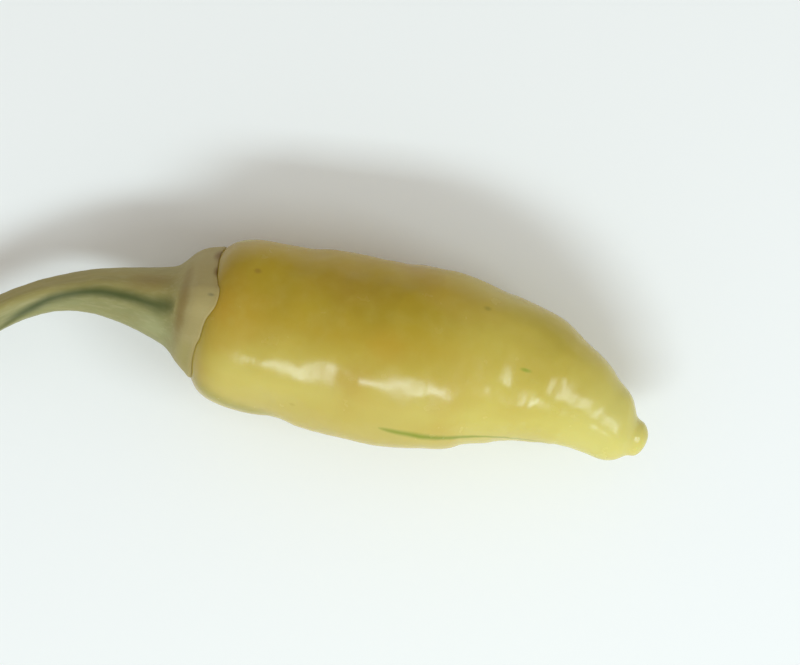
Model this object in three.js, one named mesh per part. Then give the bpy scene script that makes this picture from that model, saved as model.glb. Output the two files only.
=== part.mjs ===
// A chilli pepper as picked, lying on its side: the pod, and the stalk that widens into the calyx
// seated on the pod's shoulder. +X runs from the stalk's end towards the pod's tip and +Z is up.
// The origin is on the patch of belly that the pod rests on, at Z = 0.
// Both pieces are turned about one curved axis, on which a station is a distance in millimetres
// from the pod's base: below zero along the stalk, above zero along the pod.
import * as THREE from "three";

const { clamp, degToRad, lerp, mapLinear, smoothstep } = THREE.MathUtils;

// Pod
const POD_LENGTH = 57.6; // straight from the base to the tip
const POD_WIDTH = 22.7; // across the belly, seen from above
const POD_HEIGHT = 21.1; // through the belly, as it lies
const CHAMBERS = 3; // seed chambers, one of them underneath
const CHAMBER_SWELL = 0.15; // how far each of them swells the skin

// Stalk
const STALK_LENGTH = 33; // along its axis, from the pod's base to the end
const STALK_STRAIGHT = 8; // the stretch next to the pod that has no bend
const STALK_BEND_RADIUS = 24; // of the arc that the rest follows
const STALK_HEADING = 12.5; // degrees that the straight stretch turns from -X towards +Y
const STALK_DROOP = 2; // how much lower its end is than its root
const STALK_DIAMETER = 4.15; // of the slender stretch
const STALK_RIDGES = 5;
const RIDGE_HEIGHT = 0.12; // from the mean surface to a ridge's crest
const JOINT_DIAMETER = 4.9; // of the thickened end, where it parted from the plant
const JOINT_LENGTH = 3.5;

// Calyx
const NECK_DIAMETER = 8; // where the stalk has thickened and the calyx starts to spread
const NECK_LENGTH = 6; // from the pod's base to the neck
const NECK_TAPER = 12; // the stretch over which the slender stalk thickens to the neck
const CALYX_REACH = 2; // how far the rim reaches over the shoulder, along the axis
const CALYX_THICKNESS = 0.4; // of the skirt at its rim
const CALYX_LOBES = 5;
const LOBE_REACH = 0.4; // how far each lobe of the rim runs out, and the rim between draws back
const LOBE_TURN = 77; // degrees from +Y over the top to the first lobe
const SEAT_GAP = 0.3; // between the calyx and the shoulder that it seats on

// Fineness of the facets
const SIDES = 36;
const POD_STATIONS = 38;
const STALK_STATIONS = 30;
const SEAT_STATIONS = 7;
const FINE_STEPS = 600; // along the pod's outline, where it is measured
const AXIS_STEPS = 40; // between two neighbouring points of the axis, where it is measured
const STALK_AXIS_POINTS = 8;

const HALF_WIDTH = POD_WIDTH / 2;
const ROUNDNESS = POD_HEIGHT / POD_WIDTH;
const UNDER = -Math.PI / 2;

// The pod's axis: X and Y from the belly, in pod lengths, and how much lower it is there than half
// the pod's height. It bows to +Y and hooks to -Y at the tip, and lies nearly level, so the pod
// rests on its belly, which is pressed flat where the lowest chamber swells it, and its tip is
// clear of the surface.
const POD_AXIS = [
  [-0.429, 0.091, 0.9],
  [-0.321, 0.064, 0.75],
  [-0.2, 0.039, 0.55],
  [0, -0.001, 0.15],
  [0.08, -0.011, 0.25],
  [0.165, -0.021, 0.3],
  [0.286, -0.052, 0.35],
  [0.38, -0.1, 0.4],
  [0.467, -0.162, 0.5],
  [0.532, -0.186, 0.6],
];

// The pod's outline: station as a share of the axis, and radius as a share of the half width.
// The base is a low dome, and the tip a blunt nub.
const POD_OUTLINE = [
  [0, 0],
  [0.01, 0.45],
  [0.022, 0.64],
  [0.038, 0.765],
  [0.058, 0.85],
  [0.1, 0.915],
  [0.2, 0.94],
  [0.32, 0.98],
  [0.43, 1],
  [0.52, 0.965],
  [0.62, 0.86],
  [0.72, 0.735],
  [0.81, 0.58],
  [0.88, 0.44],
  [0.935, 0.355],
  [0.951, 0.295],
  [0.967, 0.21],
  [0.984, 0.18],
  [0.992, 0.14],
  [0.998, 0.075],
  [1, 0],
];

// A smooth curve that doesn't overshoot where its points are unevenly spaced.
const smooth = (points) => new THREE.CatmullRomCurve3(points, false, "centripetal");
const flat = ([x, y]) => new THREE.Vector3(x, y, 0);

// The height of a finely divided outline at a station.
function heightOn(outline, station) {
  const next = outline.findIndex((p) => p.x >= station);
  if (next < 1) return outline.at(next).y;
  const [a, b] = [outline[next - 1], outline[next]];
  return mapLinear(station, a.x, b.x, a.y, b.y);
}

// How far the seed chambers swell the pod at a share of its axis. They die out at its ends.
const chamberSwell = (share, angle) =>
  CHAMBER_SWELL * Math.max(0, Math.sin(Math.PI * share)) * Math.cos(CHAMBERS * (angle - UNDER));

// The pod's axis from its base to its tip.
const podAxisPoints = () =>
  POD_AXIS.map(
    ([x, y, low]) => new THREE.Vector3(x * POD_LENGTH, y * POD_LENGTH, POD_HEIGHT / 2 - low),
  );

// The stalk's axis from its end to just short of the pod's base: an arc, then a straight.
function stalkAxisPoints(base) {
  const heading = degToRad(STALK_HEADING);
  const along = new THREE.Vector2(-Math.cos(heading), Math.sin(heading));
  const inward = new THREE.Vector2(-along.y, along.x); // towards the arc's centre
  const points = [];
  for (let i = STALK_AXIS_POINTS; i > 0; i--) {
    const share = i / STALK_AXIS_POINTS;
    const straight = Math.min(STALK_LENGTH * share, STALK_STRAIGHT);
    const turn = (STALK_LENGTH * share - straight) / STALK_BEND_RADIUS;
    const plan = new THREE.Vector2(base.x, base.y)
      .addScaledVector(along, straight + STALK_BEND_RADIUS * Math.sin(turn))
      .addScaledVector(inward, STALK_BEND_RADIUS * (1 - Math.cos(turn)));
    points.push(new THREE.Vector3(plan.x, plan.y, base.z - STALK_DROOP * share ** 2));
  }
  return points;
}

const podPoints = podAxisPoints();
const stalkPoints = stalkAxisPoints(podPoints[0]);
const axis = smooth([...stalkPoints, ...podPoints]);
axis.arcLengthDivisions = AXIS_STEPS * (stalkPoints.length + podPoints.length - 1);
const lengths = axis.getLengths();
const axisLength = lengths.at(-1);
const baseLength = lengths[AXIS_STEPS * stalkPoints.length];
const podAxisLength = axisLength - baseLength;

// The point at a station, a radius and an angle about the axis, where 0 is level and towards +Y.
// round is the section's height as a share of its width.
function place({ station, radius, round }, angle) {
  const share = clamp((baseLength + station) / axisLength, 0, 1);
  const ahead = axis.getTangentAt(share);
  const side = new THREE.Vector3(-ahead.y, ahead.x, 0).normalize();
  const up = new THREE.Vector3().crossVectors(ahead, side);
  return axis
    .getPointAt(share)
    .addScaledVector(side, radius * Math.cos(angle))
    .addScaledVector(up, radius * round * Math.sin(angle));
}

// Turns an outline of stations and radii about the axis, into a closed mesh. shaped returns the
// station, radius and roundness that a point of it has at its angle. A facet faces straight down,
// and what would press below the surface that the pepper lies on is flattened against it.
function turned(outline, shaped) {
  const profile = outline.map((p) => new THREE.Vector2(p.y, p.x));
  const geometry = new THREE.LatheGeometry(profile, SIDES);
  const position = geometry.getAttribute("position");
  const halfFacet = Math.PI / SIDES;
  for (let i = 0; i < position.count; i++) {
    const [x, station, z] = [position.getX(i), position.getY(i), position.getZ(i)];
    const angle = Math.atan2(x, z) + halfFacet;
    const point = place(shaped(station, Math.hypot(x, z), angle), angle);
    position.setXYZ(i, point.x, point.y, Math.max(0, point.z));
  }
  geometry.deleteAttribute("normal");
  geometry.deleteAttribute("uv");
  geometry.computeVertexNormals();
  return geometry;
}

const podOutline = smooth(
  POD_OUTLINE.map(([share, radius]) => flat([share * podAxisLength, radius * HALF_WIDTH])),
);
const podSkin = podOutline.getSpacedPoints(FINE_STEPS);
const podRadius = (station) => heightOn(podSkin, station);

function podGeometry() {
  return turned(podOutline.getSpacedPoints(POD_STATIONS), (station, radius, angle) => ({
    station,
    radius: radius + chamberSwell(station / podAxisLength, angle),
    round: ROUNDNESS,
  }));
}

// The seat: the pod's outline from the rim back to the middle of the base, clear of it by the gap.
function seatOutline() {
  const rimAt = podSkin.findIndex((p) => p.x >= CALYX_REACH) / FINE_STEPS;
  const points = [];
  for (let i = 0; i < SEAT_STATIONS; i++) {
    const at = rimAt * (1 - i / SEAT_STATIONS);
    const ahead = podOutline.getTangentAt(at);
    const outwards = new THREE.Vector3(-ahead.y, ahead.x, 0);
    points.push(podOutline.getPointAt(at).addScaledVector(outwards, SEAT_GAP));
  }
  return [...points, new THREE.Vector3(-SEAT_GAP, 0, 0)];
}

// The stalk and calyx in one outline: the rounded end, the stalk, its thickening to the neck, the
// flare of the calyx out to the rim, and back along the seat. The shares between two sizes set
// how full each curve is.
function stalkOutline() {
  const slender = STALK_DIAMETER / 2;
  const joint = JOINT_DIAMETER / 2;
  const neck = NECK_DIAMETER / 2;
  const seat = seatOutline();
  const rim = podRadius(CALYX_REACH) + SEAT_GAP + CALYX_THICKNESS;
  const outer = smooth(
    [
      [-STALK_LENGTH, 0.8 * joint],
      [-STALK_LENGTH + 0.2 * JOINT_LENGTH, joint],
      [-STALK_LENGTH + JOINT_LENGTH, lerp(slender, joint, 0.15)],
      [-NECK_LENGTH - NECK_TAPER, slender],
      [-NECK_LENGTH - 0.5 * NECK_TAPER, lerp(slender, neck, 0.38)],
      [-NECK_LENGTH, neck],
      [-0.5 * NECK_LENGTH, lerp(neck, rim, 0.2)],
      [0, lerp(neck, rim, 0.75)],
      [0.5 * CALYX_REACH, lerp(neck, rim, 0.89)],
      [CALYX_REACH, rim],
    ].map(flat),
  ).getSpacedPoints(STALK_STATIONS);
  return [new THREE.Vector3(-STALK_LENGTH, 0, 0), ...outer, ...seat];
}

function stalkGeometry() {
  const firstLobe = degToRad(LOBE_TURN);
  return turned(stalkOutline(), (station, radius, angle) => {
    const onStalk = 1 - smoothstep(station, -NECK_LENGTH, 0);
    const onSkirt = smoothstep(station, 0, CALYX_REACH);
    const moved = station + LOBE_REACH * onSkirt * Math.cos(CALYX_LOBES * (angle - firstLobe));
    const follow = podRadius(Math.max(0, moved)) - podRadius(Math.max(0, station));
    const ridge = RIDGE_HEIGHT * onStalk * Math.cos(STALK_RIDGES * angle);
    return {
      station: moved,
      radius:
        radius +
        follow +
        chamberSwell(moved / podAxisLength, angle) +
        ridge * Math.min(1, (2 * radius) / STALK_DIAMETER),
      round: lerp(ROUNDNESS, 1, onStalk),
    };
  });
}

function piece(name, geometry, material) {
  const mesh = new THREE.Mesh(geometry, new THREE.MeshStandardMaterial(material));
  mesh.name = name;
  return mesh;
}

const pepper = new THREE.Group();
pepper.add(
  piece("pod", podGeometry(), { color: 0xd8c86a, roughness: 0.3, metalness: 0 }),
  piece("stalk_with_calyx", stalkGeometry(), { color: 0xb8ad7a, roughness: 0.6, metalness: 0 }),
);

export default pepper;
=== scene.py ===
# A short, plump chilli pepper as picked, lying on its side. Lengths are in millimetres where they
# are named, and MM turns them into metres where a mesh is made.
import math

import bpy
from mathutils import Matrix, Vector


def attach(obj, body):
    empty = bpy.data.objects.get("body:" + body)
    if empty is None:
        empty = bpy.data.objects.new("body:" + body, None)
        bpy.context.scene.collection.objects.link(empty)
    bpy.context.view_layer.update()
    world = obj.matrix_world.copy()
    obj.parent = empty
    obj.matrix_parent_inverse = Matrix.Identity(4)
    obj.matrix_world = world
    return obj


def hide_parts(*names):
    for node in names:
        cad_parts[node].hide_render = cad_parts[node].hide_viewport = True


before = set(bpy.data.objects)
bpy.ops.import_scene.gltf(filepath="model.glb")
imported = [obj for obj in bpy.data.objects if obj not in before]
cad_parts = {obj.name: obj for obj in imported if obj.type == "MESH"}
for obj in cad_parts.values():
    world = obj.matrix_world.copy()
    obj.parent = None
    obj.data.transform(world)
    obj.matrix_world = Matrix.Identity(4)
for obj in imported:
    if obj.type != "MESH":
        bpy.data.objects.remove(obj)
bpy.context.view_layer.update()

# The line it grew along. Both pieces are turned about one curved line: the stalk bends in an arc,
# and the pod is nearly straight but hooks towards -Y at its tip. A station is a distance along the
# line from the pod's base, below zero on the stalk.

MM = 0.001
LINE_STEPS = 40  # measured steps between two neighbouring points of a line

POD_LENGTH = 57.6  # straight from the base to the tip
POD_WIDTH = 22.7  # across the belly, seen from above
POD_HEIGHT = 21.1  # through the belly, as it lies
ROUNDNESS = POD_HEIGHT / POD_WIDTH
CHAMBERS = 3  # seed chambers, one of them underneath
CHAMBER_SWELL = 0.15  # how far each of them swells the skin
STALK_LENGTH = 33  # along the line, from the pod's base to the end
STALK_STRAIGHT = 8  # the stretch next to the pod that has no bend
STALK_BEND_RADIUS = 24  # of the arc that the rest follows
STALK_HEADING = math.radians(12.5)  # how far the straight stretch turns from -X towards +Y
STALK_DROOP = 2  # how much lower its end is than its root
STALK_LINE_POINTS = 8

# X and Y in pod lengths from the belly, and how much lower the line is there than half the height.
POD_LINE = [
    (-0.429, 0.091, 0.9),
    (-0.321, 0.064, 0.75),
    (-0.2, 0.039, 0.55),
    (0, -0.001, 0.15),
    (0.08, -0.011, 0.25),
    (0.165, -0.021, 0.3),
    (0.286, -0.052, 0.35),
    (0.38, -0.1, 0.4),
    (0.467, -0.162, 0.5),
    (0.532, -0.186, 0.6),
]

# The pod's outline: station as a share of its line, and radius as a share of the half width.
POD_OUTLINE = [
    (0, 0),
    (0.01, 0.45),
    (0.022, 0.64),
    (0.038, 0.765),
    (0.058, 0.85),
    (0.1, 0.915),
    (0.2, 0.94),
    (0.32, 0.98),
    (0.43, 1),
    (0.52, 0.965),
    (0.62, 0.86),
    (0.72, 0.735),
    (0.81, 0.58),
    (0.88, 0.44),
    (0.935, 0.355),
    (0.951, 0.295),
    (0.967, 0.21),
    (0.984, 0.18),
    (0.992, 0.14),
    (0.998, 0.075),
    (1, 0),
]


def smooth(points, steps=LINE_STEPS):
    """A smooth curve through points that doesn't overshoot where they are unevenly spaced."""
    points = [Vector(point).to_3d() for point in points]
    through = [2 * points[0] - points[1], *points, 2 * points[-1] - points[-2]]
    curve = []
    for a, b, c, d in zip(through, through[1:], through[2:], through[3:]):
        before, here, after = (math.sqrt((q - p).length) for p, q in ((a, b), (b, c), (c, d)))
        leave = ((b - a) / before - (c - a) / (before + here)) * here + (c - b)
        arrive = ((d - c) / after - (d - b) / (here + after)) * here + (c - b)
        for t in (i / steps for i in range(steps)):
            bend = 3 * (c - b) - 2 * leave - arrive
            twist = 2 * (b - c) + leave + arrive
            curve.append(b + t * (leave + t * (bend + t * twist)))
    return curve + [points[-1]]


def length_of(line):
    """How long a line is."""
    return sum((b - a).length for a, b in zip(line, line[1:]))


def height_on(outline, station):
    """The radius of an outline at a station."""
    a, b = next((a, b) for a, b in zip(outline, outline[1:]) if b.x >= station)
    return a.y + (b.y - a.y) * (station - a.x) / (b.x - a.x)


def pod_line_points():
    """The pod's line from base to tip."""
    return [Vector((x * POD_LENGTH, y * POD_LENGTH, POD_HEIGHT / 2 - low)) for x, y, low in POD_LINE]


def stalk_line_points(base):
    """The stalk's line from its end to just short of the base: an arc, then a straight."""
    along = Vector((-math.cos(STALK_HEADING), math.sin(STALK_HEADING), 0))
    inward = Vector((-along.y, along.x, 0))
    points = []
    for i in range(STALK_LINE_POINTS, 0, -1):
        share = i / STALK_LINE_POINTS
        straight = min(STALK_LENGTH * share, STALK_STRAIGHT)
        turn = (STALK_LENGTH * share - straight) / STALK_BEND_RADIUS
        ahead = straight + STALK_BEND_RADIUS * math.sin(turn)
        aside = STALK_BEND_RADIUS * (1 - math.cos(turn))
        droop = Vector((0, 0, STALK_DROOP * share**2))
        points.append(base + ahead * along + aside * inward - droop)
    return points


pod_points = pod_line_points()
grown_line = smooth([*stalk_line_points(pod_points[0]), *pod_points])
base_step = STALK_LINE_POINTS * LINE_STEPS
BASE_ALONG = length_of(grown_line[: base_step + 1])
POD_LINE_LENGTH = length_of(grown_line[base_step:])


def line_object(name, points):
    """An object that holds a line of points, for a tree to sample."""
    line = bpy.data.curves.new(name, "CURVE")
    line.dimensions = "3D"
    spline = line.splines.new("POLY")
    spline.points.add(len(points) - 1)
    for place, point in zip(spline.points, points):
        place.co = (*(point * MM), 1)
    made = bpy.data.objects.new(name, line)
    bpy.context.scene.collection.objects.link(made)
    return made


line_guide = line_object("grown_line", grown_line)


# Pod. The fruit of the chilli: taut skin with a waxy cuticle over firm pale flesh. It grew about
# its line, fuller over the seed chambers, rippled across where the flesh filled it, and wrinkled
# round the blunt tip, where the flower dropped off.

POD_STATIONS = 380  # points along its outline
POD_SIDES = 250  # and round it
WELD = 0.001  # points closer than this are made one
EVEN_RADIUS = 2  # the skin gets more even inside this radius, where it closes

# How the flesh is uneven. Each layer has a seed, a stretch on the skin's X, Y and Z that draws it
# out where it is under 1, a span, a depth, and the stations between which it comes in, so that the
# shoulder stays taut.
UNEVENNESS = {
    "Swelling": (136.0, (0.8, 0.8, 1), 9.0, 1.6, 2, 14),
    "Ripple": (283.0, (0.6, 0.6, 1), 3.2, 0.3, 2, 14),
    "Crease": (5117.0, (0.7, 0.7, 1), 3.0, 0.3, 30, 42),
}


def add(tree, kind, inputs=(), stops=(), **settings):
    """Adds a node, sets its properties, and sets or links its inputs by number or by name. Stops
    are the points of its curve, or the places and colours of its ramp, from 0 to 1."""
    made = tree.nodes.new(kind)
    for name, value in settings.items():
        setattr(made, name, value)
    for key, value in inputs.items() if isinstance(inputs, dict) else enumerate(inputs):
        sockets = [socket for socket in made.inputs if socket.enabled]
        socket = sockets[key] if isinstance(key, int) else next(s for s in sockets if s.name == key)
        if isinstance(value, bpy.types.Node):
            value = next(s for s in value.outputs if s.enabled)
        if isinstance(value, bpy.types.NodeSocket):
            tree.links.new(value, socket)
        elif value is not None:
            socket.default_value = value
    if stops and hasattr(made, "color_ramp"):
        row = made.color_ramp.elements
        row.remove(row[1])
        row[0].position, row[0].color = stops[0]
        for place, value in stops[1:]:
            row.new(place).color = value
    elif stops:
        row = made.mapping.curves[0].points
        row[0].location, row[1].location = stops[0], stops[-1]
        for place, value in stops[1:-1]:
            row.new(place, value)
        made.mapping.update()
    return made


def turned(name, outline, shape, sizes, material):
    """A plain mesh turned about the grown line from an outline of stations and radii, by a tree of
    Geometry Nodes. shape adds the nodes that give the station, radius and roundness of a point.
    What would press below the surface that the pepper lies on is flattened against it. The
    attribute "skin" keeps each point's place on the piece as if it had grown straight."""
    tree = bpy.data.node_groups.new(name, "GeometryNodeTree")
    tree.interface.new_socket("Mesh", in_out="OUTPUT", socket_type="NodeSocketGeometry")
    given = {
        "Line": line_guide,
        "Outline": line_object(name + "_outline", outline),
        "Base along line": BASE_ALONG * MM,
        **sizes,
    }
    kinds = {float: "NodeSocketFloat", int: "NodeSocketInt", bpy.types.Object: "NodeSocketObject"}
    keys = {}
    for label, value in given.items():
        made = tree.interface.new_socket(label, in_out="INPUT", socket_type=kinds[type(value)])
        keys[label] = made.identifier
    size = add(tree, "NodeGroupInput").outputs

    # A flat grid: X runs along the outline and Y once round, from the underside over +Y.
    grid = add(tree, "GeometryNodeMeshGrid", [1.0, 1.0, size["Stations"], size["Sides"]])
    spot = add(tree, "ShaderNodeSeparateXYZ", [add(tree, "GeometryNodeInputPosition")])
    share = add(tree, "ShaderNodeMath", [spot.outputs["X"], 0.5], operation="ADD")
    turn = (spot.outputs["Y"], math.tau, math.pi / 2)
    angle = add(tree, "ShaderNodeMath", turn, operation="MULTIPLY_ADD")
    cosine = add(tree, "ShaderNodeMath", [angle], operation="COSINE")
    sine = add(tree, "ShaderNodeMath", [angle], operation="SINE")

    # Its place on the piece as if that had grown straight.
    outlined = add(tree, "GeometryNodeObjectInfo", [size["Outline"]]).outputs["Geometry"]
    traced = add(
        tree,
        "GeometryNodeSampleCurve",
        {"Curves": outlined, "Factor": share},
        mode="FACTOR",
        use_all_curves=True,
    )
    profile = add(tree, "ShaderNodeSeparateXYZ", [traced.outputs["Position"]])
    ring = add(tree, "ShaderNodeCombineXYZ", [cosine, sine])
    ring = {0: ring, "Scale": profile.outputs["Y"]}
    ring = add(tree, "ShaderNodeVectorMath", ring, operation="SCALE")
    lengthways = add(tree, "ShaderNodeCombineXYZ", {"Z": profile.outputs["X"]})
    skin = add(tree, "ShaderNodeVectorMath", [ring, lengthways], operation="ADD")
    marked = add(
        tree,
        "GeometryNodeStoreNamedAttribute",
        {"Geometry": grid, "Name": "skin", "Value": skin},
        data_type="FLOAT_VECTOR",
        domain="POINT",
    )

    # Its place about the grown line.
    station, radius, roundness = shape(tree, size, traced, profile, skin, angle)
    lined = add(tree, "GeometryNodeObjectInfo", [size["Line"]]).outputs["Geometry"]
    reach = add(tree, "ShaderNodeMath", [size["Base along line"], station], operation="ADD")
    here = add(
        tree,
        "GeometryNodeSampleCurve",
        {"Curves": lined, "Length": reach},
        mode="LENGTH",
        use_all_curves=True,
    )
    ahead = here.outputs["Tangent"]
    level = add(tree, "ShaderNodeVectorMath", [(0, 0, 1), ahead], operation="CROSS_PRODUCT")
    side = add(tree, "ShaderNodeVectorMath", [level], operation="NORMALIZE")
    up = add(tree, "ShaderNodeVectorMath", [ahead, side], operation="CROSS_PRODUCT")
    sideways = add(tree, "ShaderNodeMath", [radius, cosine], operation="MULTIPLY")
    upwards = add(tree, "ShaderNodeMath", [radius, sine], operation="MULTIPLY")
    upwards = add(tree, "ShaderNodeMath", [upwards, roundness], operation="MULTIPLY")
    aside = add(tree, "ShaderNodeVectorMath", {0: side, "Scale": sideways}, operation="SCALE")
    above = add(tree, "ShaderNodeVectorMath", {0: up, "Scale": upwards}, operation="SCALE")
    offset = add(tree, "ShaderNodeVectorMath", [aside, above], operation="ADD")
    middle = here.outputs["Position"]
    point = add(tree, "ShaderNodeVectorMath", [middle, offset], operation="ADD")

    # At or above Z = 0. Its X and Y are never as low as a metre below zero, so they stay.
    rested = add(tree, "ShaderNodeVectorMath", [point, (-1, -1, 0)], operation="MAXIMUM")
    shaped = add(tree, "GeometryNodeSetPosition", {"Geometry": marked, "Position": rested})
    closed = add(tree, "GeometryNodeMergeByDistance", {"Geometry": shaped, "Distance": WELD * MM})
    faced = add(tree, "GeometryNodeFlipFaces", {"Mesh": closed})
    shaded = add(tree, "GeometryNodeSetShadeSmooth", {"Geometry": faced})
    real = add(tree, "GeometryNodeRealizeInstances", {"Geometry": shaded})
    clad = add(tree, "GeometryNodeSetMaterial", {"Geometry": real, "Material": material})
    add(tree, "NodeGroupOutput", [clad])

    made = bpy.data.objects.new(name, bpy.data.meshes.new(name + "_start"))
    bpy.context.scene.collection.objects.link(made)
    growth = made.modifiers.new("growth", "NODES")
    growth.node_group = tree
    for label, value in given.items():
        growth[keys[label]] = value
    grown = made.evaluated_get(bpy.context.evaluated_depsgraph_get())
    mesh = bpy.data.meshes.new_from_object(grown)
    made.modifiers.remove(growth)
    made.data = mesh
    bpy.data.objects.remove(given["Outline"])
    return made


def pod_shape(tree, size, traced, profile, skin, angle):
    """Swells the pod over its seed chambers, and makes the flesh uneven and the tip wrinkled."""
    station, radius = profile.outputs["X"], profile.outputs["Y"]
    share = add(tree, "ShaderNodeMath", [station, size["Length"]], operation="DIVIDE")
    bow = add(tree, "ShaderNodeMath", [share, math.pi], operation="MULTIPLY")
    fullness = add(tree, "ShaderNodeMath", [bow], operation="SINE")
    turns = (angle, size["Chambers"], CHAMBERS * math.pi / 2)
    turns = add(tree, "ShaderNodeMath", turns, operation="MULTIPLY_ADD")
    chamber = add(tree, "ShaderNodeMath", [turns], operation="COSINE")
    chamber = add(tree, "ShaderNodeMath", [chamber, fullness], operation="MULTIPLY")
    swell = add(tree, "ShaderNodeMath", [chamber, size["Chamber swell"]], operation="MULTIPLY")

    # All of it dies out at the very ends, where the skin closes.
    closing = {"Value": radius, "From Min": 0.0, "From Max": EVEN_RADIUS * MM}
    closing = add(tree, "ShaderNodeMapRange", closing, interpolation_type="SMOOTHSTEP")
    whole = add(tree, "ShaderNodeMath", [swell, closing, radius], operation="MULTIPLY_ADD")
    for layer, (_, stretch, span, depth, start, full) in UNEVENNESS.items():
        drawn = add(tree, "ShaderNodeVectorMath", [skin, stretch], operation="MULTIPLY")
        noise = {"Vector": drawn, "W": size[layer + " seed"], "Detail": 1.0}
        noise["Scale"] = 1 / (span * MM)
        noise = add(tree, "ShaderNodeTexNoise", noise, noise_dimensions="4D")
        deep = (depth * MM, -depth / 2 * MM)
        deep = add(tree, "ShaderNodeMath", [noise, *deep], operation="MULTIPLY_ADD")
        grows = {"Value": station, "From Min": start * MM, "From Max": full * MM}
        grows = add(tree, "ShaderNodeMapRange", grows, interpolation_type="SMOOTHSTEP")
        deep = add(tree, "ShaderNodeMath", [deep, grows], operation="MULTIPLY")
        whole = add(tree, "ShaderNodeMath", [deep, closing, whole], operation="MULTIPLY_ADD")
    return station, whole, size["Roundness"]


def colour(code):
    """An sRGB hex colour as linear red, green, blue and alpha."""
    shares = [int(code[i : i + 2], 16) / 255 for i in (0, 2, 4)]
    return (*(c / 12.92 if c <= 0.04045 else ((c + 0.055) / 1.055) ** 2.4 for c in shares), 1)


# The colour of the skin round the pod, by degrees from the top towards -Y: partly its own uneven
# ripening and partly painted shade, a darker ochre on the +Y side, away from the lamps, and a paler
# yellow on the -Y side that they light.
RIPENESS_AND_PAINTED_SHADE = [
    (-180, "BEA84C"),
    (-110, "B89A2E"),
    (-55, "B4961A"),
    (-24, "AF9522"),
    (-5, "B69A2C"),
    (15, "BDA948"),
    (37, "C6B55C"),
    (55, "C0AD55"),
    (90, "BAA650"),
    (140, "BEAC4E"),
    (180, "BEA84C"),
]

# Lines where the skin has stayed green: their colour, and along each its station, its degrees from
# the top towards -Y, its half width and its strength.
GREEN_LINES = [
    (
        "7C8A0C",
        [
            (24.7, 54, 0.1, 0),
            (26.3, 55, 0.4, 0.8),
            (29, 57, 0.5, 0.9),
            (34, 61, 0.4, 0.85),
            (38, 65, 0.26, 0.75),
            (44, 72, 0.2, 0.65),
            (48, 74, 0.14, 0.4),
            (51, 74, 0.1, 0),
        ],
    ),
    ("948A08", [(1, 62, 0.9, 0.35), (5, 68, 1.6, 0.7), (8, 75, 1.7, 0.75), (14, 79, 0.8, 0)]),
]

# Spots: station, degrees, half length, half width, how far it leans in degrees, strength, colour.
POD_SPOTS = [
    (40.9, -5, 0.8, 0.3, 4, 0.75, "8A9A28"),  # a green fleck
    # a painted pale highlight along the +Y edge of the shoulder, next to the calyx
    (4.2, -80, 2.0, 0.9, 0, 0.5, "CCD488"),  # a pale patch next to the calyx
    (7.1, -39, 0.55, 0.45, 0, 0.5, "86601F"),  # brown freckles
    (35.1, -42, 0.5, 0.45, 0, 0.5, "847C2A"),
    (14.5, 51, 0.5, 0.3, 0, 0.35, "A08A30"),
    (3.6, -8, 2.4, 3.0, 0, 0.22, "BD8A1E"),  # soft ochre blotches
    (24.3, -3, 2.6, 3.0, 0, 0.2, "BE8E26"),
    (19.3, -37, 6.0, 4.0, 0, 0.35, "A0801E"),
    (42, -50, 5.0, 3.0, 0, 0.3, "A89630"),
]

WAVER = 0.8  # how far the mottle moves the edge of a spot or line, in half widths
SPOT_EDGE = (0.5, 1.6)  # half widths from its middle between which a spot fades
LINE_EDGE = (0.3, 2.2)  # and a line


def measures(tree):
    """What a skin's colours are measured by: the point on the piece as if it had grown straight,
    its station, how far round it is in radians from the top towards -Y, and how far out."""
    place = add(tree, "ShaderNodeAttribute", attribute_name="skin").outputs["Vector"]
    split = add(tree, "ShaderNodeSeparateXYZ", [place]).outputs
    towards = add(tree, "ShaderNodeMath", [split["X"], -1.0], operation="MULTIPLY")
    turn = add(tree, "ShaderNodeMath", [towards, split["Y"]], operation="ARCTAN2")
    flat = add(tree, "ShaderNodeVectorMath", [place, (1, 1, 0)], operation="MULTIPLY")
    out = add(tree, "ShaderNodeVectorMath", [flat], operation="LENGTH").outputs["Value"]
    return place, split["Z"], turn, out


def with_shades(tree, base, shades):
    """The base colour with shades over it: each has a measure, the values between which it comes
    in, how strong it gets, and its colour."""
    for measure, low, high, strength, code in shades:
        limits = {"Value": measure, "From Min": low, "From Max": high, "To Max": strength}
        share = add(tree, "ShaderNodeMapRange", limits, interpolation_type="SMOOTHSTEP")
        shade = {"Factor": share, "A": base, "B": colour(code)}
        base = add(tree, "ShaderNodeMix", shade, data_type="RGBA")
    return base


def with_spots(tree, base, station, turn, out, waver, spots):
    """The base colour with soft-edged spots over it. waver, from 0 to 1, makes them irregular."""
    for at, degrees, half_length, half_width, lean, strength, code in spots:
        ahead = add(tree, "ShaderNodeMath", [station, at * MM], operation="SUBTRACT")
        aside = add(tree, "ShaderNodeMath", [turn, math.radians(degrees)], operation="SUBTRACT")
        aside = add(tree, "ShaderNodeMath", [aside, out], operation="MULTIPLY")
        off = add(tree, "ShaderNodeCombineXYZ", [ahead, aside])
        off = {"Vector": off, "Rotation": (0, 0, math.radians(lean))}
        off = add(tree, "ShaderNodeMapping", off, vector_type="POINT")
        stretch = (1 / (half_length * MM), 1 / (half_width * MM), 1)
        off = add(tree, "ShaderNodeVectorMath", [off, stretch], operation="MULTIPLY")
        off = add(tree, "ShaderNodeVectorMath", [off], operation="LENGTH").outputs["Value"]
        off = add(tree, "ShaderNodeMath", [waver, WAVER, off], operation="MULTIPLY_ADD")
        share = {"Value": off, "From Min": SPOT_EDGE[0], "From Max": SPOT_EDGE[1]}
        share.update({"To Min": strength, "To Max": 0.0})
        share = add(tree, "ShaderNodeMapRange", share, interpolation_type="SMOOTHSTEP")
        spot = {"Factor": share, "A": base, "B": colour(code)}
        base = add(tree, "ShaderNodeMix", spot, data_type="RGBA")
    return base


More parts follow.
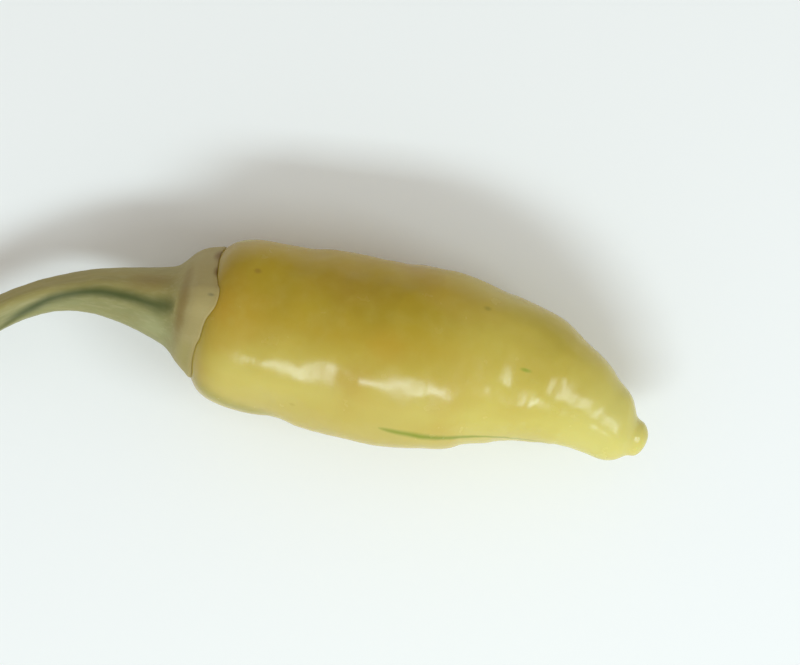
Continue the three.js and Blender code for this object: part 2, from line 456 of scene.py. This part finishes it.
def with_line(tree, base, station, turn, out, waver, code, path):
    """The base colour with a line over it. Along its path the line has a station, degrees, a half
    width and a strength."""
    start, end = path[0][0], path[-1][0]
    along = {"Value": station, "From Min": start * MM, "From Max": end * MM}
    along = add(tree, "ShaderNodeMapRange", along)
    shares = [(at - start) / (end - start) for at, *_ in path]
    kept = []
    rows = [(degrees / 360 + 0.5, width / 2, power) for _, degrees, width, power in path]
    for values in zip(*rows):
        stops = list(zip(shares, values))
        kept.append(add(tree, "ShaderNodeFloatCurve", {"Value": along}, stops=stops))
    middle, width, strength = kept
    middle = add(tree, "ShaderNodeMath", [middle, math.tau, -math.pi], operation="MULTIPLY_ADD")
    width = add(tree, "ShaderNodeMath", [width, 2 * MM], operation="MULTIPLY")
    aside = add(tree, "ShaderNodeMath", [turn, middle], operation="SUBTRACT")
    aside = add(tree, "ShaderNodeMath", [aside, out], operation="MULTIPLY")
    aside = add(tree, "ShaderNodeMath", [aside, width], operation="DIVIDE")
    aside = add(tree, "ShaderNodeMath", [aside], operation="ABSOLUTE")
    aside = add(tree, "ShaderNodeMath", [waver, WAVER, aside], operation="MULTIPLY_ADD")
    across = {"Value": aside, "From Min": LINE_EDGE[0], "From Max": LINE_EDGE[1]}
    across.update({"To Min": 1.0, "To Max": 0.0})
    across = add(tree, "ShaderNodeMapRange", across, interpolation_type="SMOOTHSTEP")
    share = add(tree, "ShaderNodeMath", [across, strength], operation="MULTIPLY")
    line = {"Factor": share, "A": base, "B": colour(code)}
    return add(tree, "ShaderNodeMix", line, data_type="RGBA")


def pod_skin():
    """Pepper skin, grown: a pale, faintly translucent flesh under a smooth waxy cuticle. Light
    sinks in and comes out soft and yellow, and a lamp shows as a broad, slightly broken gloss."""
    material = bpy.data.materials.new("waxy_pepper_skin")
    material.use_nodes = True
    tree = material.node_tree
    tree.nodes.clear()
    place, station, turn, out = measures(tree)

    # Blotches, finer mottle, and pores, which are drawn at half a millimetre so that they show.
    noises = []
    for span, detail in ((10, 2.0), (2.5, 3.0), (0.5, 2.0)):
        noise = {"Vector": place, "Scale": 1 / (span * MM), "Detail": detail}
        noises.append(add(tree, "ShaderNodeTexNoise", noise))
    blotches, mottle, pores = noises

    # Round the pod: its ripening colour, with painted shade making the +Y side, away from the lamps,
    # darker.
    share = add(tree, "ShaderNodeMath", [turn, 1 / math.tau, 0.5], operation="MULTIPLY_ADD")
    stops = [(degrees / 360 + 0.5, colour(code)) for degrees, code in RIPENESS_AND_PAINTED_SHADE]
    base = add(tree, "ShaderNodeValToRGB", [share], stops=stops)
    shades = [
        (blotches, 0.45, 0.7, 0.4, "B48C26"),
        (mottle, 0.35, 0.75, 0.15, "CBB860"),
        # painted shade where the calyx rim meets the pod, over the warm brownish tint the skin has
        # there
        (station, 6.5 * MM, 0.5 * MM, 0.7, "9C8218"),  # darker next to the calyx
        (station, 26 * MM, 38 * MM, 0.38, "D2C664"),  # paler past the belly
        (station, 44 * MM, 54 * MM, 0.7, "D4CA74"),  # and palest at the tip
    ]
    base = with_shades(tree, base, shades)
    for code, path in GREEN_LINES:
        base = with_line(tree, base, station, turn, out, mottle, code, path)
    base = with_spots(tree, base, station, turn, out, mottle, POD_SPOTS)

    # A gloss that varies with the mottle, over fine ripples that run round the pod.
    gloss = {"Value": mottle, "From Min": 0.3, "From Max": 0.7, "To Min": 0.18, "To Max": 0.28}
    gloss = add(tree, "ShaderNodeMapRange", gloss)
    ripples = add(tree, "ShaderNodeVectorMath", [place, (0.4, 0.4, 1)], operation="MULTIPLY")
    ripples = {"Vector": ripples, "Scale": 1 / (0.9 * MM), "Detail": 1.0}
    ripples = add(tree, "ShaderNodeTexNoise", ripples)
    bump = {"Strength": 0.35, "Distance": 0.05 * MM, "Height": ripples}
    bump = add(tree, "ShaderNodeBump", bump)
    bump = {"Strength": 0.12, "Distance": 0.03 * MM, "Height": pores, "Normal": bump}
    bump = add(tree, "ShaderNodeBump", bump)
    shader = {
        "Base Color": base,
        "Roughness": gloss,
        "IOR": 1.42,
        "Subsurface Weight": 0.3,
        "Subsurface Radius": (1.0, 0.7, 0.25),
        "Subsurface Scale": 2.5 * MM,
        "Normal": bump,
    }
    add(tree, "ShaderNodeOutputMaterial", [add(tree, "ShaderNodeBsdfPrincipled", shader)])
    return material


pod_outline = smooth([(share * POD_LINE_LENGTH, r * POD_WIDTH / 2) for share, r in POD_OUTLINE])
pod = turned(
    "pod_skin_and_flesh",
    pod_outline,
    pod_shape,
    {
        "Stations": POD_STATIONS,
        "Sides": POD_SIDES,
        "Length": POD_LINE_LENGTH * MM,
        "Roundness": ROUNDNESS,
        "Chambers": float(CHAMBERS),
        "Chamber swell": CHAMBER_SWELL * MM,
        **{layer + " seed": values[0] for layer, values in UNEVENNESS.items()},
    },
    pod_skin(),
)
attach(pod, "root")
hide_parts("pod")


# Stalk with calyx. The stalk is ribbed green tissue that has begun to dry to tan, thickened at the
# joint where it parted from the plant. It widens into the calyx, the five grown-together leaves
# that cap the pod's shoulder, and the two are one piece that grew tight on the pod.

STALK_STATIONS = 300  # points along its outline
STALK_SIDES = 160  # and round it
STALK_DIAMETER = 4.15  # of the slender stretch
STALK_RIBS = 5
RIB_HEIGHT = 0.12
KNOT_HEIGHT = 0.12  # of the unevenness between and along the ribs
KNOT_SPAN = 2.5
JOINT_DIAMETER = 4.9  # of the thickened end
JOINT_LENGTH = 3.5
SCAR_DEPTH = 0.45  # of the hollow in the end face
NECK_DIAMETER = 8  # where the stalk has thickened and the calyx starts to spread
NECK_LENGTH = 6  # from the pod's base to the neck
NECK_TAPER = 12  # the stretch over which the slender stalk thickens to the neck
CALYX_REACH = 2  # how far the rim reaches over the shoulder, along the line
RIM_THICKNESS = 0.26
CALYX_SINK = 0.05  # how far the calyx has pressed into the skin under it
CALYX_SKEW = 0.35  # how much later it flares on the -Y side, and sooner on the +Y side
SHOULDER_STEPS = 40  # steps at which the calyx reads the pod's outline under it

RIM_RANGE = 1.5  # more than the furthest that its lobes run out

# How far the rim runs out or draws back, by degrees from the underside over +Y. Five lobes.
CALYX_RIM = [
    (0, 0.1),
    (22, 0.5),
    (45, 0.0),
    (70, -0.3),
    (94, -0.1),
    (111, -0.35),
    (135, -0.15),
    (155, 0.5),
    (166, 1.05),
    (177, 0.65),
    (188, 0.1),
    (199, 0.0),
    (212, -0.35),
    (225, -0.4),
    (244, -0.2),
    (270, -0.5),
    (290, 0.1),
    (310, 0.6),
    (335, -0.2),
    (360, 0.1),
]


def stalk_outline():
    """The hollow end face, the stalk, its thickening to the neck, the flare of the calyx out to
    its rim, and back along the pod's shoulder."""
    end, slender = -STALK_LENGTH, STALK_DIAMETER / 2
    joint, neck = JOINT_DIAMETER / 2, NECK_DIAMETER / 2
    rim = height_on(pod_outline, CALYX_REACH) + RIM_THICKNESS
    flare = rim - neck
    outer = smooth(
        [
            (end + SCAR_DEPTH, 0),
            (end + 0.8 * SCAR_DEPTH, 0.5 * joint),
            (end, 0.8 * joint),
            (end + 0.08 * JOINT_LENGTH, 0.93 * joint),
            (end + 0.25 * JOINT_LENGTH, joint),
            (end + JOINT_LENGTH, slender + 0.15 * (joint - slender)),
            (-NECK_LENGTH - NECK_TAPER, slender),
            (-NECK_LENGTH - 0.5 * NECK_TAPER, slender + 0.38 * (neck - slender)),
            (-NECK_LENGTH, neck),
            (-0.5 * NECK_LENGTH, neck + 0.2 * flare),
            (-0.33 * NECK_LENGTH, neck + 0.38 * flare),
            (-0.17 * NECK_LENGTH, neck + 0.62 * flare),
            (0, neck + 0.81 * flare),
            (0.5 * CALYX_REACH, neck + 0.93 * flare),
            (CALYX_REACH, rim),
            (CALYX_REACH + 0.35 * RIM_THICKNESS, rim - 0.2 * RIM_THICKNESS),
            (CALYX_REACH + 0.45 * RIM_THICKNESS, rim - 0.6 * RIM_THICKNESS),
        ]
    )
    under = [p for p in pod_outline if p.x < CALYX_REACH + 0.4 * RIM_THICKNESS]
    return outer + [
        Vector((p.x + CALYX_SINK, max(0, p.y - CALYX_SINK), 0)) for p in reversed(under)
    ]


def stalk_shape(tree, size, traced, profile, skin, angle):
    """Skews the calyx's flare, runs its rim out into lobes that follow the pod's shoulder, and
    ribs the stalk."""
    station, radius = profile.outputs["X"], profile.outputs["Y"]

    # How much of each change a point takes, from 0 to 1.
    heading = add(tree, "ShaderNodeSeparateXYZ", [traced.outputs["Tangent"]])
    shares = []
    for measure, low, high in (
        (station, 0.3 * MM, CALYX_REACH * MM),
        (station, -0.6 * NECK_LENGTH * MM, CALYX_REACH * MM),
        (station, -0.6 * NECK_LENGTH * MM, 0.0),
        (station, CALYX_REACH * MM, 0.0),
        (heading, -0.1, 0.1),
        (station, 0.0, -NECK_LENGTH * MM),
        (radius, 0.3 * STALK_DIAMETER * MM, 0.5 * STALK_DIAMETER * MM),
    ):
        limits = {"Value": measure, "From Min": low, "From Max": high}
        shares.append(add(tree, "ShaderNodeMapRange", limits, interpolation_type="SMOOTHSTEP"))
    on_rim, on_flare, past_neck, before_rim, outside, on_stalk, on_side = shares

    sideways = add(tree, "ShaderNodeMath", [angle], operation="COSINE")
    skewed = add(tree, "ShaderNodeMath", [sideways, size["Calyx skew"]], operation="MULTIPLY")
    for share in (past_neck, before_rim, outside):
        skewed = add(tree, "ShaderNodeMath", [skewed, share], operation="MULTIPLY")
    moved = add(tree, "ShaderNodeMath", [station, skewed], operation="SUBTRACT")

    round_share = (angle, 1 / math.tau, 0.25)
    round_share = add(tree, "ShaderNodeMath", round_share, operation="MULTIPLY_ADD")
    stops = [(degrees / 360, reach / (2 * RIM_RANGE) + 0.5) for degrees, reach in CALYX_RIM]
    lobe = add(tree, "ShaderNodeFloatCurve", {"Value": round_share}, stops=stops)
    lobe = (lobe, 2 * RIM_RANGE * MM, -RIM_RANGE * MM)
    lobe = add(tree, "ShaderNodeMath", lobe, operation="MULTIPLY_ADD")
    moved = add(tree, "ShaderNodeMath", [lobe, on_rim, moved], operation="MULTIPLY_ADD")

    # How much wider the pod is where a point has moved to than where it was, and how much wider at
    # its lobe's tip than at the even rim. The seat takes up the first and the flare the second.
    far = CALYX_REACH + 2 * RIM_RANGE
    steps = [i / SHOULDER_STEPS for i in range(SHOULDER_STEPS + 1)]
    stops = [(step, height_on(pod_outline, far * step) / POD_WIDTH) for step in steps]
    tip = add(tree, "ShaderNodeMath", [lobe, CALYX_REACH * MM], operation="ADD")
    heights = []
    for at in (station, moved, CALYX_REACH * MM, tip):
        at = add(tree, "ShaderNodeMapRange", {"Value": at, "From Max": far * MM})
        height = add(tree, "ShaderNodeFloatCurve", {"Value": at}, stops=stops)
        heights.append(add(tree, "ShaderNodeMath", [height, POD_WIDTH * MM], operation="MULTIPLY"))
    climb = add(tree, "ShaderNodeMath", [heights[1], heights[0]], operation="SUBTRACT")
    widening = add(tree, "ShaderNodeMath", [heights[3], heights[2]], operation="SUBTRACT")
    widening = add(tree, "ShaderNodeMath", [widening, on_flare], operation="MULTIPLY")
    change = {"Factor": outside, "A": climb, "B": widening}
    change = add(tree, "ShaderNodeMix", change, data_type="FLOAT")
    whole = add(tree, "ShaderNodeMath", [change, radius], operation="ADD")

    turns = add(tree, "ShaderNodeMath", [angle, size["Ribs"]], operation="MULTIPLY")
    rib = add(tree, "ShaderNodeMath", [turns], operation="COSINE")
    rib = add(tree, "ShaderNodeMath", [rib, size["Rib height"]], operation="MULTIPLY")
    knots = {"Vector": skin, "Scale": 1 / (KNOT_SPAN * MM), "Detail": 2.0}
    knots = add(tree, "ShaderNodeTexNoise", knots)
    knots = (knots, 2 * KNOT_HEIGHT * MM, -KNOT_HEIGHT * MM)
    rough = add(tree, "ShaderNodeMath", knots, operation="MULTIPLY_ADD")
    rough = add(tree, "ShaderNodeMath", [rough, rib], operation="ADD")
    rough = add(tree, "ShaderNodeMath", [rough, on_stalk], operation="MULTIPLY")
    whole = add(tree, "ShaderNodeMath", [rough, on_side, whole], operation="MULTIPLY_ADD")
    flat = {"Value": on_stalk, "To Min": ROUNDNESS, "To Max": 1.0}
    return moved, whole, add(tree, "ShaderNodeMapRange", flat)


# The colour of the stalk round it, by degrees from the top towards -Y.
STALK_SIDES_COLOURS = [
    (-180, "8E8D60"),
    (-120, "9E9362"),
    (-50, "A39558"),
    (-10, "9A9054"),
    (25, "8C8A56"),
    (70, "908D5C"),
    (130, "8C8C5E"),
    (180, "8E8D60"),
]

# The dark green vein along the stalk, and its frayed end on the neck: its colour and its path.
VEIN = (
    "3A450C",
    [
        (-28, 70, 0.3, 0),
        (-24, 51, 0.45, 0.6),
        (-20, 27, 0.52, 0.85),
        (-17.6, 12, 0.58, 0.9),
        (-15, 4, 0.62, 0.9),
        (-12.5, -1, 0.64, 0.92),
        (-7.6, 1, 0.7, 0.92),
        (-5, 3, 0.85, 0.9),
        (-3.5, 2, 1.1, 0.85),
        (-2, 0, 0.9, 0),
    ],
)

# Dried, shaded and bruised patches, given as the pod's spots are.
STALK_SPOTS = [
    (-5.5, -36, 3.6, 1.8, 0, 0.5, "8A7036"),
    (-4.4, 38, 3.0, 1.4, 0, 0.4, "A6A678"),
    (0.6, 52, 1.8, 5.0, 0, 0.55, "9A9048"),
    (-1.1, -6, 0.9, 6.5, 0, 0.6, "80642A"),
    (1.9, -63, 0.7, 1.6, 0, 0.85, "80602A"),
    (2.2, -38, 0.6, 1.1, 0, 0.85, "6E4C14"),
    (1.45, -15, 0.28, 0.25, 0, 0.6, "6E6A46"),
]


def stalk_tissue():
    """Stalk and calyx tissue, grown and half dry: matt, finely fibrous along its length, tan where
    it has dried and grey green where it hasn't, with one dark green vein."""
    material = bpy.data.materials.new("drying_green_stalk_tissue")
    material.use_nodes = True
    tree = material.node_tree
    tree.nodes.clear()
    place, station, turn, out = measures(tree)

    # Mottle, and fibres about a third of a millimetre wide that run along the stalk.
    noises = []
    for stretch, span, detail in (((1, 1, 0.3), 2.0, 3.0), ((1, 1, 0.12), 0.35, 3.0)):
        drawn = add(tree, "ShaderNodeVectorMath", [place, stretch], operation="MULTIPLY")
        noise = {"Vector": drawn, "Scale": 1 / (span * MM), "Detail": detail}
        noises.append(add(tree, "ShaderNodeTexNoise", noise))
    mottle, fibres = noises

    share = add(tree, "ShaderNodeMath", [turn, 1 / math.tau, 0.5], operation="MULTIPLY_ADD")
    stops = [(degrees / 360 + 0.5, colour(code)) for degrees, code in STALK_SIDES_COLOURS]
    base = add(tree, "ShaderNodeValToRGB", [share], stops=stops)
    shades = [
        (mottle, 0.4, 0.7, 0.3, "8E8250"),
        (fibres, 0.45, 0.7, 0.2, "B8AC80"),
        (station, -3 * MM, 0.5 * MM, 0.75, "AD9B66"),  # the calyx, more dried than the stalk
        (station, 1.4 * MM, CALYX_REACH * MM, 0.25, "9C823C"),  # its rim
        (station, (1.2 - STALK_LENGTH) * MM, (0.2 - STALK_LENGTH) * MM, 0.8, "7A6440"),  # the scar
    ]
    base = with_shades(tree, base, shades)
    base = with_line(tree, base, station, turn, out, mottle, *VEIN)
    base = with_spots(tree, base, station, turn, out, mottle, STALK_SPOTS)

    bump = add(tree, "ShaderNodeBump", {"Strength": 0.3, "Distance": 0.1 * MM, "Height": fibres})
    shader = {
        "Base Color": base,
        "Roughness": 0.55,
        "IOR": 1.42,
        "Subsurface Weight": 0.15,
        "Subsurface Radius": (1.0, 0.8, 0.4),
        "Subsurface Scale": 1.0 * MM,
        "Normal": bump,
    }
    add(tree, "ShaderNodeOutputMaterial", [add(tree, "ShaderNodeBsdfPrincipled", shader)])
    return material


stalk = turned(
    "stalk_and_calyx_tissue",
    stalk_outline(),
    stalk_shape,
    {
        "Stations": STALK_STATIONS,
        "Sides": STALK_SIDES,
        "Ribs": float(STALK_RIBS),
        "Rib height": RIB_HEIGHT * MM,
        "Calyx skew": CALYX_SKEW * MM,
    },
    stalk_tissue(),
)
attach(stalk, "root")
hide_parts("stalk_with_calyx")
bpy.data.objects.remove(line_guide)


# Floor, light and camera. A plain pale floor, a long soft lamp on the -Y side and a smaller
# one towards the tip, pale light all round, and a camera that looks straight down on the pepper.

FLOOR_WIDTH = 3000
bpy.ops.mesh.primitive_plane_add(size=FLOOR_WIDTH * MM)
floor = bpy.context.object
floor.name = "floor"
paper = bpy.data.materials.new("matt_white_board")
paper.use_nodes = True
paper_shader = paper.node_tree.nodes["Principled BSDF"]
paper_shader.inputs["Base Color"].default_value = colour("F3F3F1")
paper_shader.inputs["Roughness"].default_value = 0.8
floor.data.materials.append(paper)

# Each lamp's name, its degrees from +X towards +Y and up, its width, its height and its watts.
LAMP_DISTANCE = 600
LAMPS = [
    ("side_lamp", -95, 50, 390, 100, 1.75),
    ("tip_lamp", -22, 46, 240, 120, 0.8),
]
for name, azimuth, elevation, width, height, watts in LAMPS:
    lamp_data = bpy.data.lights.new(name, "AREA")
    lamp_data.shape = "RECTANGLE"
    lamp_data.size = width * MM
    lamp_data.size_y = height * MM
    lamp_data.energy = watts
    lamp_data.color = colour("E4F6FF")[:3]
    lamp = bpy.data.objects.new(name, lamp_data)
    bpy.context.scene.collection.objects.link(lamp)
    azimuth, elevation = math.radians(azimuth), math.radians(elevation)
    towards = Vector((math.cos(azimuth), math.sin(azimuth), math.tan(elevation)))
    lamp.location = towards.normalized() * LAMP_DISTANCE * MM
    lamp.rotation_euler = towards.to_track_quat("Z", "Y").to_euler()

# The light all round is stronger on the lamps' side.
ROOM_NEAR = 0.72
ROOM_FAR = 0.42
world = bpy.data.worlds.new("pale_room")
world.use_nodes = True
tree = world.node_tree
direction = add(tree, "ShaderNodeTexCoord").outputs["Generated"]
aside = add(tree, "ShaderNodeSeparateXYZ", [direction]).outputs["Y"]
fading = {"Value": aside, "From Min": -1.0, "To Min": ROOM_NEAR, "To Max": ROOM_FAR}
strength = add(tree, "ShaderNodeMapRange", fading)
background = tree.nodes["Background"].inputs
background["Color"].default_value = colour("FFFCF6")
tree.links.new(strength.outputs["Result"], background["Strength"])
bpy.context.scene.world = world

VIEW_WIDTH = 97.6  # across the picture, at the height of the pepper's middle
CAMERA_HEIGHT = 450  # above that height
VIEW_MIDDLE = (0.5, 2.6, POD_HEIGHT / 2)
camera_data = bpy.data.cameras.new("camera")
camera_data.sensor_width = 36
camera_data.lens = camera_data.sensor_width * CAMERA_HEIGHT / VIEW_WIDTH
camera = bpy.data.objects.new("camera", camera_data)
bpy.context.scene.collection.objects.link(camera)
camera.location = Vector(VIEW_MIDDLE) * MM + Vector((0, 0, CAMERA_HEIGHT * MM))
bpy.context.scene.camera = camera
bpy.context.scene.view_settings.view_transform = "Standard"
